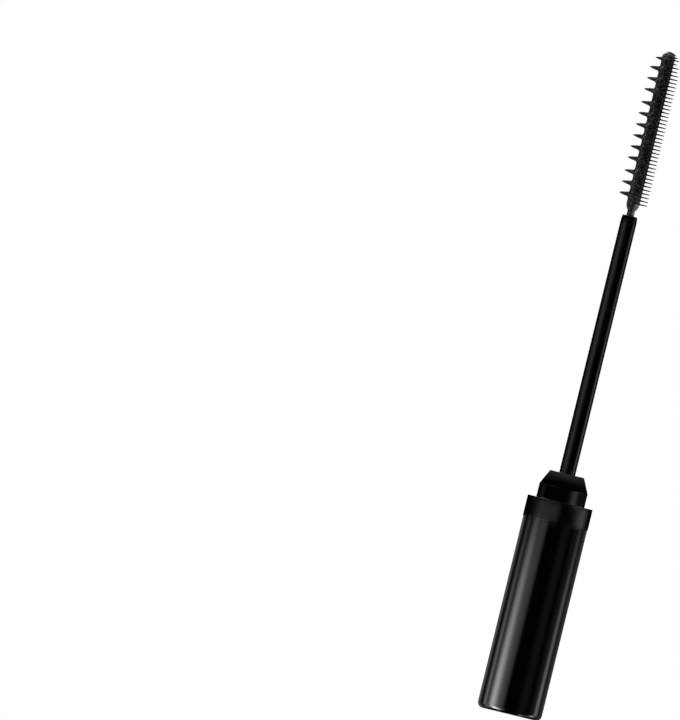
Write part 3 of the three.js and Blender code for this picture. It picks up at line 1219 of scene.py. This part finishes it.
    def _azimuths(self) -> np.ndarray:
        """The azimuths of the wall's and the card's columns, in degrees."""
        return np.linspace(-180, 180, self.wall_columns, endpoint=False)

    def _lit(self, azimuth: np.ndarray, place: np.ndarray, zones: tuple[Zone, ...]) -> np.ndarray:
        """The light of all the strips in some zones, added up."""
        spans = self._zones()
        strips = [strip for strip in self.strips if strip.zone in zones]
        return sum(strip.glow(azimuth, place, spans[strip.zone]) for strip in strips)

    @staticmethod
    def _around(azimuth: np.ndarray, reach: np.ndarray | float, height: np.ndarray) -> Surface:
        """A surface round the axis, whose faces look inwards or up.

        Args:
            azimuth: degrees from the camera's side, in rows round the axis.
            reach: the points' distance from the axis.
            height: their height.

        Returns:
            The surface, open at both ends.
        """
        turn = np.radians(azimuth)
        points = np.stack([reach * np.sin(turn), -reach * np.cos(turn), height], axis=2)
        inwards = lattice(*azimuth.shape)[:, [0, 3, 2, 1]]
        return Surface(points.reshape(-1, 3), inwards, NO_TRIANGLES)

    @staticmethod
    def _shining(thing: bpy.types.Object, glow: np.ndarray, one_sided: bool = False) -> None:
        """Lets studio gear shine in reflections only.

        Args:
            thing: the wall or the card.
            glow: the strength at each of its points.
            one_sided: whether it is clear from behind.
        """
        keep(thing, "glow", glow)
        paint = bpy.data.materials.new(thing.name)
        graph = Graph(paint)
        graph.nodes.remove(graph.nodes["Principled BSDF"])
        shine = graph.add("ShaderNodeEmission")
        graph.link(graph.attribute("glow"), shine.inputs["Strength"])
        surface = shine.outputs["Emission"]
        if one_sided:
            behind = graph.add("ShaderNodeNewGeometry").outputs["Backfacing"]
            clear = graph.add("ShaderNodeBsdfTransparent").outputs["BSDF"]
            surface = graph.fed(graph.add("ShaderNodeMixShader"), behind, surface, clear)
        graph.link(surface, graph.nodes["Material Output"].inputs["Surface"])
        paint.cycles.emission_sampling = "NONE"
        thing.data.materials.append(paint)
        for ray in ("camera", "diffuse", "shadow", "transmission"):
            setattr(thing, f"visible_{ray}", False)
        thing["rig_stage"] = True

    def _world(self) -> None:
        """White where the camera, gloss or glass looks, and an even fill elsewhere."""
        world = bpy.data.worlds.new("studio")
        bpy.context.scene.world = world
        graph = Graph(world)
        fill = graph.fill(graph.nodes["Background"], {"Color": WHITE, "Strength": self.fill})
        white = graph.add("ShaderNodeBackground", {"Color": WHITE, "Strength": 1})
        shades = [node.outputs["Background"] for node in (fill, white)]
        path = graph.add("ShaderNodeLightPath")
        looks = path.outputs["Is Camera Ray"]
        for kind in ("Is Glossy Ray", "Is Transmission Ray"):
            looks = graph.combined("MAXIMUM", looks, path.outputs[kind])
        surface = graph.fed(graph.add("ShaderNodeMixShader"), looks, *shades)
        graph.link(surface, graph.nodes["World Output"].inputs["Surface"])

    def _key(self) -> None:
        """A large soft box overhead, which gives the floor the object's shadow."""
        lamp = bpy.data.lights.new("soft_box", "AREA")
        lamp.shape = "SQUARE"
        lamp.size = self.key_size
        lamp.energy = self.key_power
        thing = linked("soft_box", lamp)
        place = Vector(self.key_place)
        turn = place.to_track_quat("Z", "Y").to_matrix()
        thing.matrix_world = Matrix.Translation(place) @ turn.to_4x4()
        thing.visible_glossy = False

    def build(self) -> None:
        """Sets up floor, wall, card, world and lamp."""
        self._floor()
        self._wall()
        self._card()
        self._world()
        self._key()
        LOG.info("studio: %d strips of light", len(self.strips))


@dataclass
class PhotoCamera:
    """The photograph's view: level, from the side, rolled so that the wand leans right.

    The picture is 680 by 720 pixels, counted from its upper left corner. In it the
    foot's centre lies at foot_pixel, the wand leans by the lean from upright, and a
    pixel is pixel_size wide on the object.
    """

    width: int = 680
    height: int = 720
    foot_pixel: tuple[float, float] = (508.62, 714.18)
    lean: float = math.radians(13.70)
    pixel_size: float = 0.19476e-3
    distance: float = 1.0
    near: float = 0.01
    far: float = 10.0

    def build(self) -> None:
        """Places an orthographic camera so that the foot lands on its pixel."""
        right = Vector((math.cos(self.lean), 0, math.sin(self.lean)))
        up = Vector((-math.sin(self.lean), 0, math.cos(self.lean)))
        across = (self.foot_pixel[0] - self.width / 2) * self.pixel_size
        above = (self.height / 2 - self.foot_pixel[1]) * self.pixel_size
        back = right.cross(up)
        place = -across * right - above * up + self.distance * back
        lens = bpy.data.cameras.new("photo_camera")
        lens.type = "ORTHO"
        lens.ortho_scale = max(self.width, self.height) * self.pixel_size
        lens.clip_start = self.near
        lens.clip_end = self.far
        camera = linked("photo_camera", lens)
        turn = Matrix((right, up, back)).transposed()
        camera.matrix_world = Matrix.Translation(place) @ turn.to_4x4()
        bpy.context.scene.camera = camera


def main() -> None:
    """Loads the frame, builds and dresses every piece, and sets up studio and camera."""
    logging.basicConfig(level=logging.INFO, format="%(name)s: %(message)s")
    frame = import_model()
    PhotoCamera().build()
    HandleShell().build()
    CollarRing().build()
    CoreSleeve().build(frame)
    StopperPlug().build()
    ApplicatorRod().build()
    MouldedBrush().build()
    Studio().build()
    bpy.context.scene.view_settings.view_transform = "Standard"


if __name__ == "__main__":
    main()
